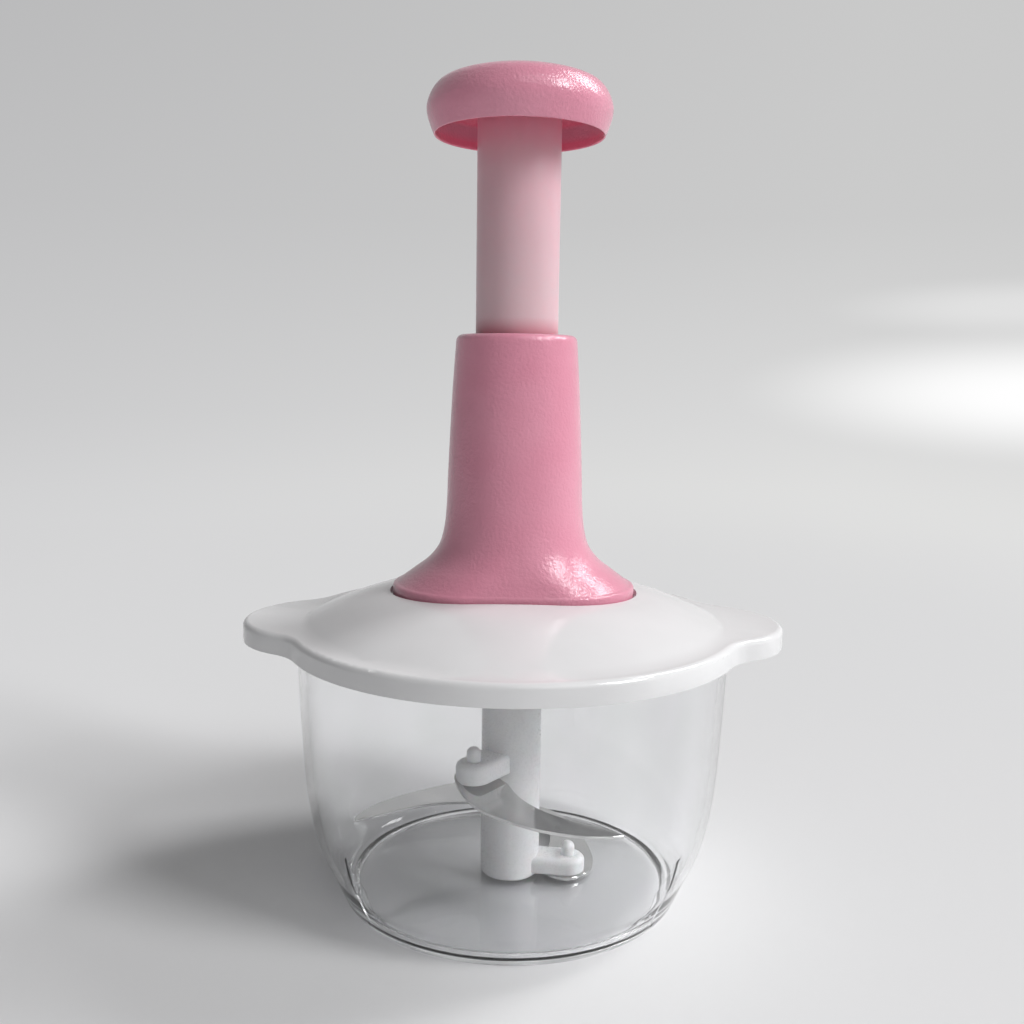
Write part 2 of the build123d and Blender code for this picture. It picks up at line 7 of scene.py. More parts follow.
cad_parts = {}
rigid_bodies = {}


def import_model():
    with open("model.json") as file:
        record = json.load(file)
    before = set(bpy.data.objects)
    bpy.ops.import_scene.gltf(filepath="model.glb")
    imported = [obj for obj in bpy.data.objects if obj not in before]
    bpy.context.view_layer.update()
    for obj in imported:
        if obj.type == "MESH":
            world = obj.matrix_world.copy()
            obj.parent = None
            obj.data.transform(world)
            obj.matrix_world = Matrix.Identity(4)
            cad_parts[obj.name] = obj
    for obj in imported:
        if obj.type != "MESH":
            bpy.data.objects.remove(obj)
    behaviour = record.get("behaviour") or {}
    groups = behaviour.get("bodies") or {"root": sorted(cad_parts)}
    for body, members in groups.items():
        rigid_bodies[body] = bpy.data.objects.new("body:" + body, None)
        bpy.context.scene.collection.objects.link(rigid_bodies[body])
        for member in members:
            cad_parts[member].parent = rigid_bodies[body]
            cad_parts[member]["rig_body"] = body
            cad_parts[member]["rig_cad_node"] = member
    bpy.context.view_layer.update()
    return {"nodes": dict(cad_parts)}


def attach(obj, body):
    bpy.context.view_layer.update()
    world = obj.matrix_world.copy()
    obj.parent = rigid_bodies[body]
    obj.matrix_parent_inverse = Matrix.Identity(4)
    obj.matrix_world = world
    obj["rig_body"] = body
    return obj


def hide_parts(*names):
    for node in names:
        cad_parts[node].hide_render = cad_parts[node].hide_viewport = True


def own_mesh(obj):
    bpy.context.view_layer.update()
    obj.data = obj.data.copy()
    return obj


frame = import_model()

# A hand press food chopper: clear bowl, white lid, pink column and knob, steel blades.
# Sizes are in millimetres, with heights above the table, and mm turns them to metres.
mm = 0.001
drawnGap = 0.002 * mm  # points of a drawn mesh closer than this are one
copiedGap = 0.004 * mm  # the same for a copied solid
patternSpan = (0.3, 0.7)  # most of a noise pattern's values lie between these
print("frame loaded")


# selecting and shaping

def deselectAll():
    if bpy.context.mode != "OBJECT":
        bpy.ops.object.mode_set(mode="OBJECT")
    bpy.ops.object.select_all(action="DESELECT")


def pick(piece):
    deselectAll()
    piece.select_set(True)
    bpy.context.view_layer.objects.active = piece


def pointBetween(first, second, here, start, end):
    return [a + (b - a) * (here - start) / (end - start) for a, b in zip(first, second)]


def smoothRun(points, steps):
    # a smooth run through the points, with steps pieces between each two
    padded = [[2 * a - b for a, b in zip(points[0], points[1])], *points,
              [2 * a - b for a, b in zip(points[-1], points[-2])]]
    run = []
    for p0, p1, p2, p3 in zip(padded, padded[1:], padded[2:], padded[3:]):
        knots = [0.0]
        for a, b in ((p0, p1), (p1, p2), (p2, p3)):
            knots.append(knots[-1] + math.sqrt(math.dist(a, b)))
        for step in range(steps):
            here = knots[1] + (knots[2] - knots[1]) * step / steps
            before = pointBetween(p0, p1, here, knots[0], knots[1])
            middle = pointBetween(p1, p2, here, knots[1], knots[2])
            after = pointBetween(p2, p3, here, knots[2], knots[3])
            first = pointBetween(before, middle, here, knots[0], knots[2])
            second = pointBetween(middle, after, here, knots[1], knots[3])
            run.append(tuple(pointBetween(first, second, here, knots[1], knots[2])))
    run.append(tuple(points[-1]))
    return run


def roundedRun(corners, steps):
    # a line through the corners, each given as radius, height and how far it is rounded
    run = []
    for index, (radius, height, cut) in enumerate(corners):
        if not cut or index in (0, len(corners) - 1):
            run.append((radius, height))
            continue
        corner = Vector((radius, height))
        before = corner + (Vector(corners[index - 1][:2]) - corner).normalized() * cut
        after = corner + (Vector(corners[index + 1][:2]) - corner).normalized() * cut
        for step in range(steps + 1):
            t = step / steps
            run.append(tuple(before * (1 - t) ** 2 + corner * 2 * t * (1 - t) + after * t ** 2))
    return run


def drawChain(name, points):
    # one point of a small plane, pulled out into a line of edges
    deselectAll()
    bpy.ops.mesh.primitive_plane_add(size=mm)
    piece = bpy.context.object
    piece.name = piece.data.name = name
    bpy.ops.object.mode_set(mode="EDIT")
    bpy.ops.mesh.merge(type="CENTER")
    bpy.ops.transform.translate(value=Vector(points[0]) * mm)
    for start, end in zip(points, points[1:]):
        step = (Vector(end) - Vector(start)) * mm
        bpy.ops.mesh.extrude_region_move(TRANSFORM_OT_translate={"value": step})
    bpy.ops.mesh.select_all(action="SELECT")
    return piece


def faceOutwards():
    bpy.ops.mesh.select_all(action="SELECT")
    bpy.ops.mesh.normals_make_consistent(inside=False)
    bpy.ops.object.mode_set(mode="OBJECT")


def turnProfile(name, profile, steps):
    # spins a profile of radius and height into a round shell
    piece = drawChain(name, [(radius, 0, height) for radius, height in profile])
    bpy.ops.mesh.spin(steps=steps, angle=math.tau, center=(0, 0, 0), axis=(0, 0, 1))
    bpy.ops.mesh.select_all(action="SELECT")
    bpy.ops.mesh.remove_doubles(threshold=drawnGap)
    faceOutwards()
    return piece


def cutPlate(name, outline, thickness):
    # an upright plate of an outline in X and Z, centred on Y
    piece = drawChain(name, [(x, -thickness / 2, z) for x, z in [*outline, outline[0]]])
    bpy.ops.mesh.remove_doubles(threshold=drawnGap)
    bpy.ops.mesh.edge_face_add()
    bpy.ops.mesh.extrude_region_move(TRANSFORM_OT_translate={"value": (0, thickness * mm, 0)})
    faceOutwards()
    return piece


def turnPiece(piece, degrees):
    piece.rotation_euler.z = math.radians(degrees)
    pick(piece)
    bpy.ops.object.transform_apply(location=True, rotation=True, scale=True)


def applyModifier(piece, kind, **settings):
    pick(piece)
    bpy.ops.object.modifier_add(type=kind)
    modifier = piece.modifiers[-1]
    for key, value in settings.items():
        setattr(modifier, key, value)
    bpy.ops.object.modifier_apply(modifier=modifier.name)


def joinSolid(piece, other):
    applyModifier(piece, "BOOLEAN", operation="UNION", object=other, solver="EXACT")
    bpy.data.objects.remove(other)


def shadeByAngle(piece, degrees=32):
    pick(piece)
    bpy.ops.object.shade_smooth_by_angle(angle=math.radians(degrees))


def stretchLevels(piece, levels):
    # both halves of each level move apart along X, so that a round shell becomes long
    slack, middle = 0.001, 0.01 * mm
    for vertex in piece.data.vertices:
        height = vertex.co.z / mm
        for low, high in zip(levels, levels[1:]):
            if low[0] - slack <= height <= high[0] + slack and abs(vertex.co.x) > middle:
                share = (height - low[0]) / (high[0] - low[0])
                shift = (low[1] - low[2]) * (1 - share) + (high[1] - high[2]) * share
                vertex.co.x += math.copysign(shift * mm, vertex.co.x)
                break


def copyNode(node, name):
    # a copy of a solid's mesh with its loose triangles merged, to be finished further
    source = frame["nodes"][node]
    piece = source.copy()
    piece.data = source.data.copy()
    piece.name = piece.data.name = name
    piece.parent = None
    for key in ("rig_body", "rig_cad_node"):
        del piece[key]
    bpy.context.scene.collection.objects.link(piece)
    pick(piece)
    bpy.ops.mesh.customdata_custom_splitnormals_clear()
    bpy.ops.object.mode_set(mode="EDIT")
    bpy.ops.mesh.select_all(action="SELECT")
    bpy.ops.mesh.remove_doubles(threshold=copiedGap)
    bpy.ops.object.mode_set(mode="OBJECT")
    return piece


def finishPiece(piece, material, body, nodes):
    piece.data.materials.clear()
    piece.data.materials.append(material)
    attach(piece, body)
    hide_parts(*nodes)
    print("made", piece.name)


# colours and nodes

def hexColour(code):
    # an sRGB hex value turned linear
    channels = [int(code[i:i + 2], 16) / 255 for i in (1, 3, 5)]
    return [c / 12.92 if c <= 0.04045 else ((c + 0.055) / 1.055) ** 2.4
            for c in channels] + [1.0]


def fillStops(ramp, stops):
    for index, (position, code) in enumerate(stops):
        if index >= len(ramp.elements):
            ramp.elements.new(position)
        ramp.elements[index].position = position
        ramp.elements[index].color = hexColour(code)


def addNode(tree, kind, settings=None, links=None):
    # stops are a colour ramp's, and a link comes from a socket or from a node's first output
    node = tree.nodes.new(kind)
    for key, value in (settings or {}).items():
        if key == "stops":
            fillStops(node.color_ramp, value)
        elif isinstance(key, int) or key in node.inputs:
            node.inputs[key].default_value = value
        else:
            setattr(node, key, value)
    for key, source in (links or {}).items():
        if isinstance(source, bpy.types.Node):
            source = source.outputs[0]
        tree.links.new(source, node.inputs[key])
    return node


def startMaterial(name, settings):
    material = bpy.data.materials.new(name)
    material.use_nodes = True
    tree = material.node_tree
    tree.nodes.clear()
    shader = addNode(tree, "ShaderNodeBsdfPrincipled", settings)
    addNode(tree, "ShaderNodeOutputMaterial", None, {"Surface": shader})
    place = addNode(tree, "ShaderNodeTexCoord").outputs["Object"]
    return material, tree, shader, place


def showShader(tree, shader):
    output = next(node for node in tree.nodes if node.type == "OUTPUT_MATERIAL")
    tree.links.new(shader.outputs[0], output.inputs["Surface"])


def addPattern(tree, place, size, detail=2.0, stretch=(1, 1, 1)):
    # noise whose patches are about size millimetres, pulled out along an axis by stretch
    spread = addNode(tree, "ShaderNodeMapping", {"Scale": [1 / s for s in stretch]},
                     {"Vector": place})
    return addNode(tree, "ShaderNodeTexNoise", {"Scale": 1 / (size * mm), "Detail": detail},
                   {"Vector": spread}).outputs["Fac"]


def blendColours(tree, shader, factor, colours, low=0.35, high=0.65):
    ramp = addNode(tree, "ShaderNodeValToRGB", {"stops": zip((low, high), colours)}, {0: factor})
    tree.links.new(ramp.outputs["Color"], shader.inputs["Base Color"])


def varyRoughness(tree, shader, factor, roughness):
    start, end = patternSpan
    low, high = roughness
    spread = addNode(tree, "ShaderNodeMapRange", {1: start, 2: end, 3: low, 4: high}, {0: factor})
    tree.links.new(spread.outputs["Result"], shader.inputs["Roughness"])


def addBump(tree, shader, heights):
    # heights lists height pattern, strength and depth in millimetres, finest first
    normal = None
    for pattern, strength, depth in heights:
        bump = addNode(tree, "ShaderNodeBump", {"Strength": strength, "Distance": depth * mm},
                       {"Height": pattern})
        if normal:
            tree.links.new(normal, bump.inputs["Normal"])
        normal = bump.outputs["Normal"]
    tree.links.new(normal, shader.inputs["Normal"])


# ABS moulded in a spark-eroded tool: satin pink with a fine pebble grain that breaks up highlights
grainLook = {
    "skin": {"IOR": 1.53, "Sheen Weight": 0.2, "Sheen Roughness": 0.45},
    "colours": ("#d98ba1", "#dd93a8"), "roughness": (0.14, 0.26),
    "grain": 1.0,  # real grain is about 0.3 mm, drawn coarser to show
    "cloud": 22, "grainBump": (1.0, 0.2), "cloudBump": (0.1, 0.2),
    # a deeper, brighter pink painted into the knob's hollow stands in for light soaking through the
    # thin wall: painted glow.
    # each fade goes from none to full, by the distance from the axis, and by the height at the top
    # and at the foot
    "glow": "#ee7894", "radiusFade": (25.55, 25.35), "topFade": (246.0, 245.6),
    "footFade": (200, 201),
}


def makeGrainAbs(look):
    material, tree, shader, place = startMaterial("spark_grained_abs", look["skin"])
    cloud = addPattern(tree, place, look["cloud"])
    grain = addPattern(tree, place, look["grain"], detail=3.0)
    blendColours(tree, shader, cloud, look["colours"])
    outer = shader.inputs["Base Color"].links[0].from_socket
    height = addNode(tree, "ShaderNodeSeparateXYZ", None, {0: place}).outputs["Z"]
    level = addNode(tree, "ShaderNodeVectorMath", {"operation": "MULTIPLY", 1: (1, 1, 0)},
                    {0: place})
    radius = addNode(tree, "ShaderNodeVectorMath", {"operation": "LENGTH"},
                     {0: level}).outputs["Value"]
    paintedGlowMask = None
    for measure, fade in ((radius, "radiusFade"), (height, "topFade"), (height, "footFade")):
        start, end = look[fade]
        within = addNode(tree, "ShaderNodeMapRange", {1: start * mm, 2: end * mm}, {0: measure})
        if paintedGlowMask:
            within = addNode(tree, "ShaderNodeMath", {"operation": "MULTIPLY"},
                             {0: paintedGlowMask, 1: within})
        paintedGlowMask = within
    # painted glow: the mask mixes the glow colour into the hollow's base colour
    glow = addNode(tree, "ShaderNodeMixRGB", {2: hexColour(look["glow"])}, {0: paintedGlowMask, 1: outer})
    tree.links.new(glow.outputs[0], shader.inputs["Base Color"])
    varyRoughness(tree, shader, grain, look["roughness"])
    addBump(tree, shader, [(grain, *look["grainBump"]), (cloud, *look["cloudBump"])])
    return material


# natural polypropylene tinted pink: light soaks in, so the tube looks milky with faint flow lines
milkyLook = {
    "skin": {"IOR": 1.49, "Subsurface Weight": 0.45, "Subsurface Scale": 6 * mm,
             "Subsurface Radius": (1.0, 0.55, 0.6)},
    # pink reflected from the knob and the column is painted onto both ends of the tube, between
    # these two heights: painted reflection
    "low": 170, "high": 240,
    "stops": [(0.06, "#cb7e8e"), (0.14, "#dfbdc3"), (0.45, "#ddb5bd"), (0.75, "#dfb0ba"),
              (0.93, "#d890a1")],
    "flow": 3.0, "flowStretch": (1, 1, 14), "roughness": (0.3, 0.34),
}


def makeMilkyPp(look):
    material, tree, shader, place = startMaterial("milky_polypropylene", look["skin"])
    flow = addPattern(tree, place, look["flow"], detail=1.0, stretch=look["flowStretch"])
    height = addNode(tree, "ShaderNodeSeparateXYZ", None, {0: place}).outputs["Z"]
    # painted reflection: the tube's colour runs by height, pinker at both ends
    paintedBounce = addNode(tree, "ShaderNodeMapRange", {1: look["low"] * mm, 2: look["high"] * mm},
                   {0: height})
    ramp = addNode(tree, "ShaderNodeValToRGB", {"stops": look["stops"]}, {0: paintedBounce})
    tree.links.new(ramp.outputs["Color"], shader.inputs["Base Color"])
    varyRoughness(tree, shader, flow, look["roughness"])
    return material


# polished ABS: bright white with a hard gloss and a slight waviness from moulding
glossLook = {"skin": {"IOR": 1.53}, "colours": ("#dfdfe0", "#e3e3e4"), "roughness": (0.1, 0.17),
             "cloud": 26, "wave": 9, "dust": 0.9, "waveBump": (0.06, 0.3)}


def makeGlossAbs(look):
    material, tree, shader, place = startMaterial("polished_white_abs", look["skin"])
    wave = addPattern(tree, place, look["wave"], detail=1.0)
    blendColours(tree, shader, addPattern(tree, place, look["cloud"]), look["colours"])
    dust = addPattern(tree, place, look["dust"], detail=4.0)
    varyRoughness(tree, shader, dust, look["roughness"])
    addBump(tree, shader, [(wave, *look["waveBump"])])
    return material


# acetal moulding of the blade shaft: dense white with a satin skin
satinLook = {"skin": {"IOR": 1.48, "Subsurface Weight": 0.08, "Subsurface Scale": 2 * mm},
             "colours": ("#dededf", "#e4e4e5"), "roughness": (0.24, 0.34), "cloud": 10,
             "grain": 0.6, "grainBump": (0.15, 0.03)}


def makeSatinAcetal(look):
    material, tree, shader, place = startMaterial("satin_white_acetal", look["skin"])
    grain = addPattern(tree, place, look["grain"], detail=3.0)
    blendColours(tree, shader, addPattern(tree, place, look["cloud"]), look["colours"])
    varyRoughness(tree, shader, grain, look["roughness"])
    addBump(tree, shader, [(grain, *look["grainBump"])])
    return material


# clear styrene acrylonitrile, blown thick: colourless, with barely visible flow ripples
clearLook = {
    "skin": {"IOR": 1.5, "Transmission Weight": 1.0},
    "colours": ("#fafbfb", "#fdfdfe"), "roughness": (0.0, 0.015), "haze": 18,
    "ripple": 12, "rippleStretch": (1, 1, 3), "rippleBump": (0.05, 0.2),
    "lampShare": (0.66, 0.66, 0.665, 1),  # the part of the lamps' light that each wall lets through
}


def makeClearSan(look):
    material, tree, shader, place = startMaterial("clear_san", look["skin"])
    haze = addPattern(tree, place, look["haze"])
    ripple = addPattern(tree, place, look["ripple"], detail=1.0, stretch=look["rippleStretch"])
    blendColours(tree, shader, haze, look["colours"])
    varyRoughness(tree, shader, haze, look["roughness"])
    addBump(tree, shader, [(ripple, *look["rippleBump"])])
    through = addNode(tree, "ShaderNodeBsdfTransparent", {"Color": look["lampShare"]})
    path = addNode(tree, "ShaderNodeLightPath")
    wall = addNode(tree, "ShaderNodeMixShader", None,
                   {0: path.outputs["Is Shadow Ray"], 1: shader, 2: through})
    showShader(tree, wall)
    return material


# mirror-polished stainless sheet with faint lines from the polishing belt
mirrorLook = {"colours": ("#cfcfce", "#dad9d8"), "roughness": (0.05, 0.13), "smear": 12,
              "belt": 0.5, "beltStretch": (1, 26, 1), "beltBump": (0.05, 0.02),
              "smearBump": (0.04, 0.3)}


def makeMirrorSteel(look):
    material, tree, shader, place = startMaterial("mirror_polished_steel", {"Metallic": 1.0})
    smear = addPattern(tree, place, look["smear"])
    belt = addPattern(tree, place, look["belt"], stretch=look["beltStretch"])
    blendColours(tree, shader, smear, look["colours"])
    varyRoughness(tree, shader, belt, look["roughness"])
    addBump(tree, shader, [(belt, *look["beltBump"]), (smear, *look["smearBump"])])
    return material


# what the small inner parts share
smallLook = {"cloud": 8, "lineBump": (0.15, 0.03), "grainBump": (0.2, 0.04)}


def makeDrawnSteel(name, colours, roughness, size, stretch=(1, 1, 1)):
    # wire, bar and small turned parts, with lines of the given size
    material, tree, shader, place = startMaterial(name, {"Metallic": 1.0})
    lines = addPattern(tree, place, size, detail=3.0, stretch=stretch)
    blendColours(tree, shader, lines, colours)
    varyRoughness(tree, shader, lines, roughness)
    addBump(tree, shader, [(lines, *smallLook["lineBump"])])
    return material


def makeMoulding(name, colours, roughness, size, ior):
    # small plastic and rubber parts, with a skin grain of the given size
    material, tree, shader, place = startMaterial(name, {"IOR": ior})
    grain = addPattern(tree, place, size, detail=3.0)
    blendColours(tree, shader, addPattern(tree, place, smallLook["cloud"]), colours)
    varyRoughness(tree, shader, grain, roughness)
    addBump(tree, shader, [(grain, *smallLook["grainBump"])])
    return material


grainAbs = makeGrainAbs(grainLook)
milkyPp = makeMilkyPp(milkyLook)
glossAbs = makeGlossAbs(glossLook)
satinAcetal = makeSatinAcetal(satinLook)
clearSan = makeClearSan(clearLook)
mirrorSteel = makeMirrorSteel(mirrorLook)
# bright drawn wire, rolled bar with lengthwise lines, and greyish zinc on the screws
springWire = makeDrawnSteel("drawn_spring_wire", ("#b9b8b4", "#c9c8c5"), (0.18, 0.3), 0.4)
rolledRod = makeDrawnSteel("rolled_twist_rod", ("#bdbcba", "#cfcecc"), (0.16, 0.3), 0.5, (1, 1, 12))
zincScrew = makeDrawnSteel("zinc_plated_screw", ("#c2c3c4", "#d3d4d6"), (0.2, 0.34), 0.5)
# creamy slippery bushes, the matt grey clutch, and the soft dull lip seal
bushAcetal = makeMoulding("natural_acetal_bush", ("#dcd8cd", "#e3e0d6"), (0.3, 0.42), 0.7, 1.48)
clutchNylon = makeMoulding("moulded_grey_nylon", ("#8b8e92", "#999ca0"), (0.34, 0.48), 0.8, 1.53)
lipSilicone = makeMoulding("moulded_silicone_seal", ("#c9cccd", "#d4d6d7"), (0.36, 0.5), 0.6, 1.42)
print("materials made")

# the bowl: a turned wall with a foot ring, and two low baffles inside
bowlSizes = {
    "foot": [(0, 1.7, 0), (49.6, 1.7, 0.5), (50.4, 0.0, 0.4), (53.2, 0.0, 0.7), (54.0, 1.0, 0.4),
             (55.0, 3.3, 0)],
    "outside": [(55.0, 3.3), (57.0, 8.0), (61.4, 18.0), (64.4, 32.0), (66.2, 55.0), (67.4, 82.9)],
    "rim": [(67.4, 82.9, 0), (67.42, 83.5, 0.5), (64.92, 83.5, 0.5), (64.9, 82.9, 0)],
    "inside": [(64.9, 82.9), (63.7, 55.0), (61.9, 32.0), (58.9, 18.0), (54.5, 8.0), (52.4, 4.2),
               (49.4, 2.45), (46.5, 2.4)],
    "floorMiddle": (0, 2.4),
    "steps": 224,
    "baffle": [(50.5, 1.9), (54.5, 1.9), (58.2, 12.0), (61.2, 20.0), (62.6, 27.6), (62.0, 27.6),
               (58.3, 20.0), (54.6, 13.0), (52.2, 6.5)],
    "baffleThickness": 1.2,
    "baffleTurns": (221, 321),
}
bowlProfile = roundedRun(bowlSizes["foot"], 3)[:-1] + smoothRun(bowlSizes["outside"], 8)[:-1]
bowlProfile += roundedRun(bowlSizes["rim"], 4)[:-1] + smoothRun(bowlSizes["inside"], 8)
bowl = turnProfile("clear_bowl", [*bowlProfile, bowlSizes["floorMiddle"]], bowlSizes["steps"])
for turn in bowlSizes["baffleTurns"]:
    baffle = cutPlate("baffle", bowlSizes["baffle"], bowlSizes["baffleThickness"])
    turnPiece(baffle, turn)
    joinSolid(bowl, baffle)
shadeByAngle(bowl)
finishPiece(bowl, clearSan, "bowl", ["bowl"])

# the pin that the blade set turns on, moulded into the bowl's floor
pivotSizes = {
    "outline": [(0, 1.9, 0), (2.5, 1.9, 0.2), (2.5, 21.0, 0.6), (0, 21.0, 0)],
    "steps": 48,
}
pivot = turnProfile("pivot_pin", roundedRun(pivotSizes["outline"], 3), pivotSizes["steps"])
shadeByAngle(pivot)
finishPiece(pivot, zincScrew, "bowl", ["centre_pin"])

lid = copyNode("lid", "white_lid")
shadeByAngle(lid, 28)
finishPiece(lid, glossAbs, "head", ["lid"])

# the column: a round shell whose base is pulled out to a long oval
housingSizes = {
    # height, half length and half depth of the outside, from the base up
    "base": [(93.7, 37.5, 24.7), (94.0, 37.8, 25.0), (97.2, 37.8, 25.0), (97.6, 37.75, 24.96),
             (97.95, 37.55, 24.9), (98.2, 37.2, 24.82), (98.35, 36.75, 24.74)],
    "flare": [(98.5, 36.4, 24.66), (100.0, 34.3, 24.3), (102.6, 30.8, 23.8), (105.6, 26.9, 23.1),
              (110.0, 23.5, 22.3), (115.3, 21.95, 21.75), (122.4, 21.18, 21.15),
              (132.6, 20.8, 20.8), (146.0, 20.2, 20.2), (159.4, 19.5, 19.5), (172.4, 18.6, 18.6)],
    "crown": [(18.6, 172.4, 0), (18.45, 175.0, 2.3), (13.4, 175.0, 0.5), (13.4, 172.0, 0)],
    "inside": [(13.4, 172.0), (16.3, 172.0), (16.3, 160.0), (17.2, 160.0), (19.4, 116.0),
               (19.9, 110.0), (20.6, 105.6), (21.4, 102.6), (21.9, 100.0), (22.4, 97.4),
               (22.8, 93.7)],
    "steps": 144,
}
housingLevels = housingSizes["base"] + smoothRun(housingSizes["flare"], 6)
housingProfile = [(depth, height) for height, length, depth in housingLevels]
housingProfile += roundedRun(housingSizes["crown"], 6)[1:] + housingSizes["inside"][1:]
housing = turnProfile("grained_housing", [*housingProfile, housingProfile[0]],
                      housingSizes["steps"])
stretchLevels(housing, housingLevels)
shadeByAngle(housing)
finishPiece(housing, grainAbs, "head", ["handle_housing"])

tubeSizes = {
    "outline": [(0, 235.5, 0), (10.8, 235.5, 0.5), (10.8, 157.0, 0.4), (12.6, 157.0, 0.5),
                (12.6, 245.0, 0.3), (10.8, 245.0, 0.3), (10.8, 237.5, 0.5), (0, 237.5, 0)],
    "steps": 112,
}
tube = turnProfile("milky_tube", roundedRun(tubeSizes["outline"], 4), tubeSizes["steps"])
shadeByAngle(tube)
finishPiece(tube, milkyPp, "plunger", ["plunger_tube"])

# the knob: hollow below, with a socket ring around the tube's end
knobSizes = {
    "outside": [(25.7, 233.7), (26.6, 236.0), (27.55, 239.0), (27.7, 241.5), (26.5, 245.0),
                (24.2, 247.8), (19.5, 249.7), (12.0, 251.3), (4.0, 251.95), (0.0, 252.0)],
    "lip": [(25.2, 233.65), (25.4, 233.5), (25.6, 233.55)],
    "inside": [(14.6, 247.7), (19.0, 247.0), (23.6, 244.8), (25.4, 241.0), (25.5, 237.0),
               (25.1, 234.0)],
    "socket": [(0.0, 245.2, 0), (12.7, 245.2, 0.2), (12.7, 243.0, 0.4), (14.4, 243.0, 0.5),
               (14.4, 247.7, 0.5), (14.6, 247.7, 0)],
    "steps": 144,
}
knobProfile = roundedRun(knobSizes["socket"], 4)[:-1] + smoothRun(knobSizes["inside"], 6)
knobProfile += knobSizes["lip"] + smoothRun(knobSizes["outside"], 7)
knob = turnProfile("grained_knob", knobProfile, knobSizes["steps"])
shadeByAngle(knob, 40)
finishPiece(knob, grainAbs, "plunger", ["press_knob"])

# the spring: a small circle wound up by a screw, with both ends closed
springSizes = {"radius": 7.4, "wire": 0.6, "sides": 12, "bottom": 168.6, "height": 66.2,
               "turns": 7.5, "stepsPerTurn": 44}
deselectAll()
bpy.ops.mesh.primitive_circle_add(vertices=springSizes["sides"], radius=springSizes["wire"] * mm,
                                  rotation=(math.pi / 2, 0, 0))
spring = bpy.context.object
spring.name = spring.data.name = "coil_spring"
spring.location = (springSizes["radius"] * mm, 0, springSizes["bottom"] * mm)
bpy.ops.object.transform_apply(location=True, rotation=True, scale=True)
springSteps = int(springSizes["turns"] * springSizes["stepsPerTurn"])
applyModifier(spring, "SCREW", angle=math.tau * springSizes["turns"], iterations=1,
              screw_offset=springSizes["height"] * mm, steps=springSteps,
              render_steps=springSteps)
bpy.ops.object.mode_set(mode="EDIT")
bpy.ops.mesh.select_all(action="SELECT")
bpy.ops.mesh.region_to_loop()
bpy.ops.mesh.edge_face_add()
faceOutwards()
shadeByAngle(spring, 50)
finishPiece(spring, springWire, "head", ["return_spring"])
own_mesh(spring)

# the blade set: shaft, pins and three blades with broken edges
shaft = copyNode("blade_shaft", "blade_spindle")
shadeByAngle(shaft, 30)
finishPiece(shaft, satinAcetal, "blades", ["blade_shaft"])

pins = copyNode("blade_pins", "pin_domes")
shadeByAngle(pins, 40)
finishPiece(pins, satinAcetal, "blades", ["blade_pins"])

bladeSizes = {"edge": 0.3, "edgeAngle": 60}
for node in ("upper_blade", "middle_blade", "lower_blade"):
    blade = copyNode(node, node.replace("_", "_polished_"))
    applyModifier(blade, "BEVEL", width=bladeSizes["edge"] * mm, segments=1,
                  limit_method="ANGLE", angle_limit=math.radians(bladeSizes["edgeAngle"]))
    shadeByAngle(blade, 30)
    finishPiece(blade, mirrorSteel, "blades", [node])

# solids that keep their own mesh
nodeFinishes = {
    "lid_seal": lipSilicone, "drive_cover": glossAbs, "cover_screws": zincScrew,
    "housing_screws": zincScrew, "guide_bush": bushAcetal, "rod_bush": bushAcetal,
    "thrust_washer": bushAcetal, "spiral_rod": rolledRod, "circlip": springWire,
    "pawl_wheel": clutchNylon, "drive_coupler": clutchNylon, "spiral_nut": bushAcetal,
    "stop_collar": bushAcetal, "spring_seat": bushAcetal, "knob_screw": zincScrew,
    "shaft_bush": bushAcetal,
}
for node, material in nodeFinishes.items():
    solid = frame["nodes"][node]
    solid.data.materials.clear()
    solid.data.materials.append(material)
print("solids dressed")

# floor, backdrop, light and camera, in metres, with the lens and its sensor in millimetres
studio = {
    # painted light and shade: the near floor runs from lighter at the left to darker at the right
    "floorNearPaintedLight": ("#eaeaeb", "#e0e0e1"), "floorPaintedLightSpan": (-0.35, 0.3),
    "floorSkin": {"Roughness": 0.42, "IOR": 1.45}, "floorCorners": 96,
    "floorReach": 9.0, "floorFade": (0.32, 1.3), "floorTop": -0.0002,
    # weak fill light, from the left to the right
    "fillLeft": 0.04, "fillRight": 0.26, "fillSpan": (-1.0, 1.0),
    # colours of the backdrop from low to high, at the left and at the right: painted light and
    # shade, lighter low down and at the right
    "sweepRise": (-0.24, 0.33), "sweepTurn": (-0.45, 0.3),
    "sweepLeft": [(0.0, "#d8d8d9"), (0.18, "#d5d5d6"), (0.35, "#cbcbcc"), (0.66, "#c0c0c1"),
                  (1.0, "#b8b8b9")],
    "sweepRight": [(0.0, "#e2e2e2"), (0.18, "#e2e2e1"), (0.35, "#dadada"), (0.66, "#cbcbcb"),
                   (1.0, "#c9c9c9")],
    # painted shade: far to the left, where reflections look, the backdrop is painted dark
    "sweepShadedSide": "#a9a9ab", "sideTurn": (-0.46, -0.9),
    # place across and up, half width, half height, strength of each glow on the backdrop
    "glows": [(0.46, -0.016, 0.17, 0.04, 1.0), (0.42, 0.058, 0.1, 0.018, 0.3)],
    "glowFade": (1.6, 0.2), "glowAhead": (0.3, 0.6),
    # degrees round from +X and above the floor, width and height of the panel, distance, watts
    "softFront": (-27, 38.5, 2.3, 3.6, 8.0, 402.0),
    "softBack": (22, 43, 2.0, 4.0, 8.0, 310.0),
    "softCamera": (-68, 50, 4.0, 3.2, 8.0, 66.0),
    "lampAim": (0, 0, 0.1),
    "cameraPlace": (0.0, -0.325, 0.1646), "cameraPitch": 0.13535, "cameraRoll": 0.01389,
    "cameraYaw": 0.00231, "lens": 36.84, "sensor": 36.0,
}


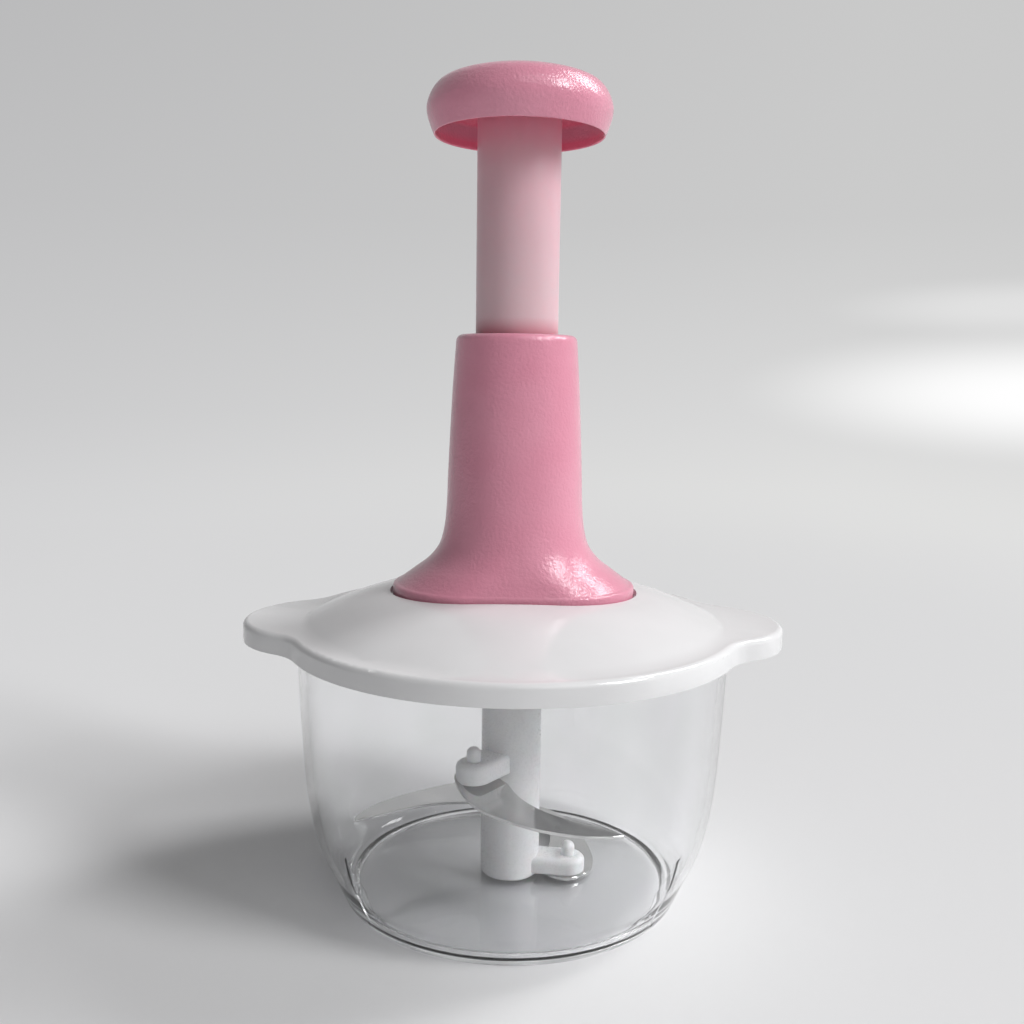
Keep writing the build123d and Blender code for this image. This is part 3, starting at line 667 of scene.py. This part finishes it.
def addSeen(tree):
    # 1 where the backdrop is looked at, straight or by way of gloss or clear plastic
    path = addNode(tree, "ShaderNodeLightPath")
    direct = addNode(tree, "ShaderNodeMath", {"operation": "MAXIMUM"},
                     {0: path.outputs["Is Camera Ray"], 1: path.outputs["Is Glossy Ray"]})
    return addNode(tree, "ShaderNodeMath", {"operation": "MAXIMUM"},
                   {0: direct, 1: path.outputs["Is Transmission Ray"]})


def addGlow(tree, colour, unit, ahead, glow):
    # a soft white oval of painted light on the backdrop, only in front
    across, rise, width, height, strength = glow
    shifted = addNode(tree, "ShaderNodeVectorMath", {"operation": "SUBTRACT", 1: (across, 0, rise)},
                      {0: unit})
    spread = addNode(tree, "ShaderNodeVectorMath",
                     {"operation": "MULTIPLY", 1: (1 / width, 0, 1 / height)}, {0: shifted})
    away = addNode(tree, "ShaderNodeVectorMath", {"operation": "LENGTH"}, {0: spread})
    start, end = studio["glowFade"]
    light = addNode(tree, "ShaderNodeMapRange",
                    {"interpolation_type": "SMOOTHSTEP", 1: start, 2: end, 4: strength},
                    {0: away.outputs["Value"]})
    light = addNode(tree, "ShaderNodeMath", {"operation": "MULTIPLY"}, {0: light, 1: ahead})
    return addNode(tree, "ShaderNodeMixRGB", {2: hexColour("#ffffff")}, {0: light, 1: colour})


def addSweep(tree, direction):
    # the backdrop's colour in a direction from the camera's place
    unit = addNode(tree, "ShaderNodeVectorMath", {"operation": "NORMALIZE"}, {0: direction})
    axes = addNode(tree, "ShaderNodeSeparateXYZ", None, {0: unit})
    fades = {}
    for name, axis in (("sweepRise", "Z"), ("sweepTurn", "X"), ("glowAhead", "Y"),
                       ("sideTurn", "X")):
        start, end = studio[name]
        fades[name] = addNode(tree, "ShaderNodeMapRange", {1: start, 2: end},
                              {0: axes.outputs[axis]})
    left, right = (addNode(tree, "ShaderNodeValToRGB", {"stops": studio[name]},
                           {0: fades["sweepRise"]}) for name in ("sweepLeft", "sweepRight"))
    colour = addNode(tree, "ShaderNodeMixRGB", None, {0: fades["sweepTurn"], 1: left, 2: right})
    for glow in studio["glows"]:
        colour = addGlow(tree, colour, unit, fades["glowAhead"], glow)
    return addNode(tree, "ShaderNodeMixRGB", {2: hexColour(studio["sweepShadedSide"])},
                   {0: fades["sideTurn"], 1: colour})


def makeFloorPaint():
    # matt studio paper: near the object its colour is painted lighter at the left and darker at the
    # right, as painted light and shade that even out the lamps; far away it takes the backdrop's
    # colour
    material, tree, shader, place = startMaterial("studio_floor", studio["floorSkin"])
    sideways = addNode(tree, "ShaderNodeSeparateXYZ", None, {0: place}).outputs["X"]
    start, end = studio["floorPaintedLightSpan"]
    # painted light and shade across the floor, by its place from left to right
    paper = addNode(tree, "ShaderNodeMapRange", {1: start, 2: end}, {0: sideways})
    blendColours(tree, shader, paper, studio["floorNearPaintedLight"], low=0.0, high=1.0)
    away = addNode(tree, "ShaderNodeVectorMath", {"operation": "LENGTH"}, {0: place})
    start, end = studio["floorFade"]
    fade = addNode(tree, "ShaderNodeMapRange",
                   {"interpolation_type": "SMOOTHSTEP", 1: start, 2: end},
                   {0: away.outputs["Value"]})
    far = addNode(tree, "ShaderNodeMath", {"operation": "MULTIPLY"}, {0: fade, 1: addSeen(tree)})
    direction = addNode(tree, "ShaderNodeVectorMath",
                        {"operation": "SUBTRACT", 1: studio["cameraPlace"]}, {0: place})
    sweep = addNode(tree, "ShaderNodeEmission", None, {"Color": addSweep(tree, direction)})
    showShader(tree, addNode(tree, "ShaderNodeMixShader", None, {0: far, 1: shader, 2: sweep}))
    return material


deselectAll()
bpy.ops.mesh.primitive_circle_add(vertices=studio["floorCorners"], radius=studio["floorReach"],
                                  fill_type="NGON", location=(0, 0, studio["floorTop"]))
floor = bpy.context.object
floor.name = "studio_floor"
floor.data.materials.append(makeFloorPaint())

world = bpy.data.worlds.new("studio_air")
bpy.context.scene.world = world
world.use_nodes = True
air = world.node_tree
air.nodes.clear()
outlook = addNode(air, "ShaderNodeTexCoord").outputs["Generated"]
outlookAxes = addNode(air, "ShaderNodeSeparateXYZ", None, {0: outlook})
farLeft, farRight = studio["fillSpan"]
fillStrength = addNode(air, "ShaderNodeMapRange",
                       {1: farLeft, 2: farRight, 3: studio["fillLeft"], 4: studio["fillRight"]},
                       {0: outlookAxes.outputs["X"]})
fill = addNode(air, "ShaderNodeBackground", {"Color": hexColour("#ffffff")},
               {"Strength": fillStrength})
backdrop = addNode(air, "ShaderNodeBackground", {"Strength": 1.0}, {"Color": addSweep(air, outlook)})
airShader = addNode(air, "ShaderNodeMixShader", None, {0: addSeen(air), 1: fill, 2: backdrop})
addNode(air, "ShaderNodeOutputWorld", None, {"Surface": airShader})

for name in ("softFront", "softBack", "softCamera"):
    turn, rise, width, tall, distance, watts = studio[name]
    turn, rise = math.radians(turn), math.radians(rise)
    outward = Vector((math.cos(turn) * math.cos(rise), math.sin(turn) * math.cos(rise),
                      math.sin(rise)))
    deselectAll()
    bpy.ops.object.light_add(type="AREA", location=outward * distance + Vector(studio["lampAim"]))
    lamp = bpy.context.object
    lamp.name = name
    lamp.rotation_euler = outward.to_track_quat("Z", "Y").to_euler()
    lamp.data.shape = "RECTANGLE"
    lamp.data.size, lamp.data.size_y, lamp.data.energy = width, tall, watts

pitch, roll = studio["cameraPitch"], studio["cameraRoll"]
ahead = Vector((0, math.cos(pitch), -math.sin(pitch)))
right, up = Vector((1, 0, 0)), Vector((0, math.sin(pitch), math.cos(pitch)))
across = right * math.cos(roll) + up * math.sin(roll)
upward = up * math.cos(roll) - right * math.sin(roll)
cameraAxes = Matrix((across, upward, -ahead)).transposed()
deselectAll()
bpy.ops.object.camera_add(location=studio["cameraPlace"])
camera = bpy.context.object
camera.data.sensor_width, camera.data.lens = studio["sensor"], studio["lens"]
camera.rotation_euler = (Matrix.Rotation(studio["cameraYaw"], 3, "Z") @ cameraAxes).to_euler()
bpy.context.scene.camera = camera
bpy.context.scene.view_settings.view_transform = "Standard"
print("studio set")
